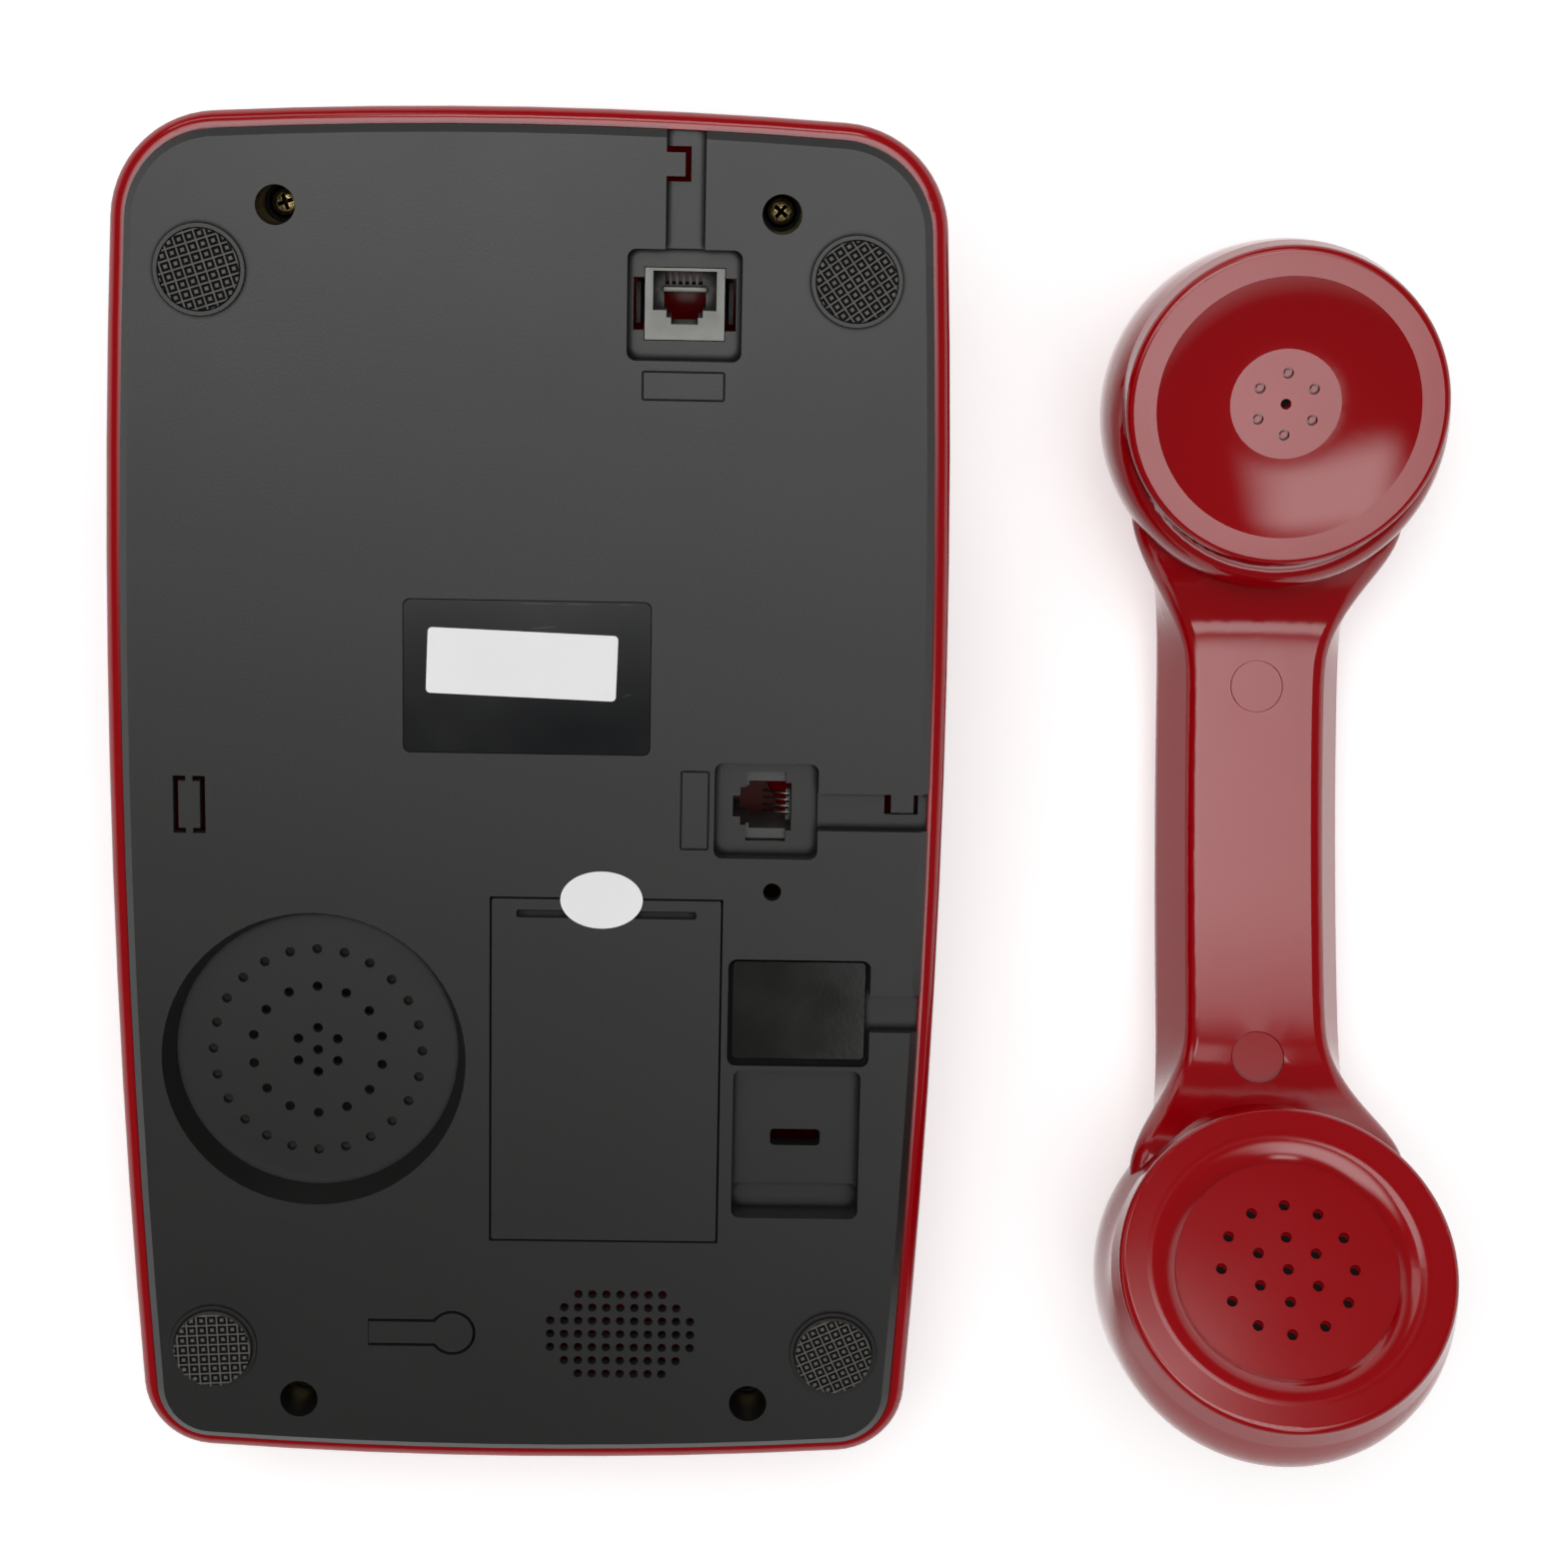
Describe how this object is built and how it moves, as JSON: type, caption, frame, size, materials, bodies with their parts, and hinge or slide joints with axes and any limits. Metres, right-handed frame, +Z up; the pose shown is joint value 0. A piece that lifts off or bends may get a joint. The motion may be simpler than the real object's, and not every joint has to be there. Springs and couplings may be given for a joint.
{
  "type": "wall telephone",
  "caption": "Slim push-button wall telephone lying face down with its round-cap handset beside it; sockets, battery door and sound openings on its back.",
  "frame": {"origin": "on the surface that the telephone and its handset lie on, under the middle of their common box", "axes": "+Z up from that surface, +Y towards the top end of the face-down base, +X from the base to the handset"},
  "size_m": [0.2194, 0.219, 0.0845],
  "materials": {
    "dark_abs": "fine textured charcoal ABS",
    "red_abs": "polished deep red ABS",
    "foot_rubber": "moulded rubber with a raised grid",
    "zinc_steel": "yellow zinc plated steel",
    "film": "glossy black polyester film",
    "paper": "white coated paper",
    "pale_nylon": "light grey nylon",
    "dark_nylon": "dark grey nylon",
    "gilt_wire": "gold flashed phosphor bronze wire",
    "cell_jacket": "shrink wrapped cell",
    "spring_steel": "nickel plated spring steel",
    "board": "solder masked laminate",
    "black_component": "black moulded component",
    "basket_steel": "painted pressed steel",
    "cone_paper": "pressed paper cone",
    "magnet": "sintered ferrite and cast iron",
    "dial_metal": "spun aluminium look metal plate",
    "window": "clear moulded window",
    "mat_rubber": "silicone key mat",
    "capsule_metal": "drawn aluminium can",
    "key_plastic": "black moulded key"
  },
  "bodies": {
    "base": {"back_cover": "dark_abs", "blanking_plate": "dark_abs", "front_shell": "red_abs", "rubber_feet": "foot_rubber", "case_screws": "zinc_steel", "label_film": "film", "white_label": "paper", "dial_card": "paper", "line_socket": "pale_nylon", "cord_socket": "dark_nylon", "line_contacts": "gilt_wire", "cord_contacts": "gilt_wire", "battery_cells": "cell_jacket", "battery_contacts": "spring_steel", "main_board": "board", "key_board": "board", "switch_board": "board", "board_components": "black_component", "reset_switch": "black_component", "hook_switch": "black_component", "ringer_basket": "basket_steel", "ringer_cone": "cone_paper", "ringer_magnet": "magnet", "dial_plate": "dial_metal", "dial_window": "window", "key_mat": "mat_rubber", "hook_pin": "spring_steel", "hook_spring": "spring_steel"},
    "battery_door": {"battery_door": "dark_abs", "inspection_sticker": "paper"},
    "press_tongue": {"press_tongue": "dark_abs"},
    "hook_lever": {"hook_lever": "red_abs"},
    "handset": {"handset_inner_shell": "red_abs", "handset_outer_shell": "red_abs", "handset_screws": "zinc_steel", "screw_plugs": "red_abs", "ballast_weight": "magnet", "handset_cord_socket": "dark_nylon", "ear_cap": "red_abs", "mouth_cap": "red_abs", "receiver_capsule": "capsule_metal", "microphone_capsule": "capsule_metal"},
    "key_1": {"key_1": "key_plastic"},
    "key_2": {"key_2": "key_plastic"},
    "key_3": {"key_3": "key_plastic"},
    "key_4": {"key_4": "key_plastic"},
    "key_5": {"key_5": "key_plastic"},
    "key_6": {"key_6": "key_plastic"},
    "key_7": {"key_7": "key_plastic"},
    "key_8": {"key_8": "key_plastic"},
    "key_9": {"key_9": "key_plastic"},
    "key_star": {"key_star": "key_plastic"},
    "key_0": {"key_0": "key_plastic"},
    "key_hash": {"key_hash": "key_plastic"},
    "redial_key": {"redial_key": "key_plastic"},
    "flash_key": {"flash_key": "key_plastic"}
  },
  "joints": [
    {"name": "battery_door_hinge", "type": "hinge", "parent": "base", "child": "battery_door", "pos_m": [-0.03, -0.07139, 0.04651], "axis": [1, 0, 0], "range_deg": [0, 75]},
    {"name": "press_tongue_flex", "type": "hinge", "parent": "base", "child": "press_tongue", "pos_m": [-0.0685, -0.0875, 0.04226], "axis": [0, 0.9768, 0.214], "range_deg": [0, 4], "stiffness_Nm_per_rad": 0.3, "springref_deg": -0.57},
    {"name": "hook_lever_pivot", "type": "hinge", "parent": "base", "child": "hook_lever", "pos_m": [-0.0429, 0.06519, 0.0621], "axis": [-1, 0, 0], "range_deg": [0, 8], "stiffness_Nm_per_rad": 0.25, "springref_deg": -6.88},
    {"name": "handset_lift", "type": "slide", "parent": "base", "child": "handset", "axis": [0, 0, 1], "range_m": [0, 0.15]},
    {"name": "key_1_press", "type": "slide", "parent": "base", "child": "key_1", "axis": [0, -0.2732, 0.9619], "range_m": [0, 0.0015], "stiffness_N_per_m": 300, "springref_m": -0.001},
    {"name": "key_2_press", "type": "slide", "parent": "base", "child": "key_2", "axis": [0, -0.2732, 0.9619], "range_m": [0, 0.0015], "stiffness_N_per_m": 300, "springref_m": -0.001},
    {"name": "key_3_press", "type": "slide", "parent": "base", "child": "key_3", "axis": [0, -0.2732, 0.9619], "range_m": [0, 0.0015], "stiffness_N_per_m": 300, "springref_m": -0.001},
    {"name": "key_4_press", "type": "slide", "parent": "base", "child": "key_4", "axis": [0, -0.2732, 0.9619], "range_m": [0, 0.0015], "stiffness_N_per_m": 300, "springref_m": -0.001},
    {"name": "key_5_press", "type": "slide", "parent": "base", "child": "key_5", "axis": [0, -0.2732, 0.9619], "range_m": [0, 0.0015], "stiffness_N_per_m": 300, "springref_m": -0.001},
    {"name": "key_6_press", "type": "slide", "parent": "base", "child": "key_6", "axis": [0, -0.2732, 0.9619], "range_m": [0, 0.0015], "stiffness_N_per_m": 300, "springref_m": -0.001},
    {"name": "key_7_press", "type": "slide", "parent": "base", "child": "key_7", "axis": [0, -0.2732, 0.9619], "range_m": [0, 0.0015], "stiffness_N_per_m": 300, "springref_m": -0.001},
    {"name": "key_8_press", "type": "slide", "parent": "base", "child": "key_8", "axis": [0, -0.2732, 0.9619], "range_m": [0, 0.0015], "stiffness_N_per_m": 300, "springref_m": -0.001},
    {"name": "key_9_press", "type": "slide", "parent": "base", "child": "key_9", "axis": [0, -0.2732, 0.9619], "range_m": [0, 0.0015], "stiffness_N_per_m": 300, "springref_m": -0.001},
    {"name": "key_star_press", "type": "slide", "parent": "base", "child": "key_star", "axis": [0, -0.2732, 0.9619], "range_m": [0, 0.0015], "stiffness_N_per_m": 300, "springref_m": -0.001},
    {"name": "key_0_press", "type": "slide", "parent": "base", "child": "key_0", "axis": [0, -0.2732, 0.9619], "range_m": [0, 0.0015], "stiffness_N_per_m": 300, "springref_m": -0.001},
    {"name": "key_hash_press", "type": "slide", "parent": "base", "child": "key_hash", "axis": [0, -0.2732, 0.9619], "range_m": [0, 0.0015], "stiffness_N_per_m": 300, "springref_m": -0.001},
    {"name": "redial_key_press", "type": "slide", "parent": "base", "child": "redial_key", "axis": [0, -0.2732, 0.9619], "range_m": [0, 0.0015], "stiffness_N_per_m": 300, "springref_m": -0.001},
    {"name": "flash_key_press", "type": "slide", "parent": "base", "child": "flash_key", "axis": [0, -0.2732, 0.9619], "range_m": [0, 0.0015], "stiffness_N_per_m": 300, "springref_m": -0.001}
  ]
}
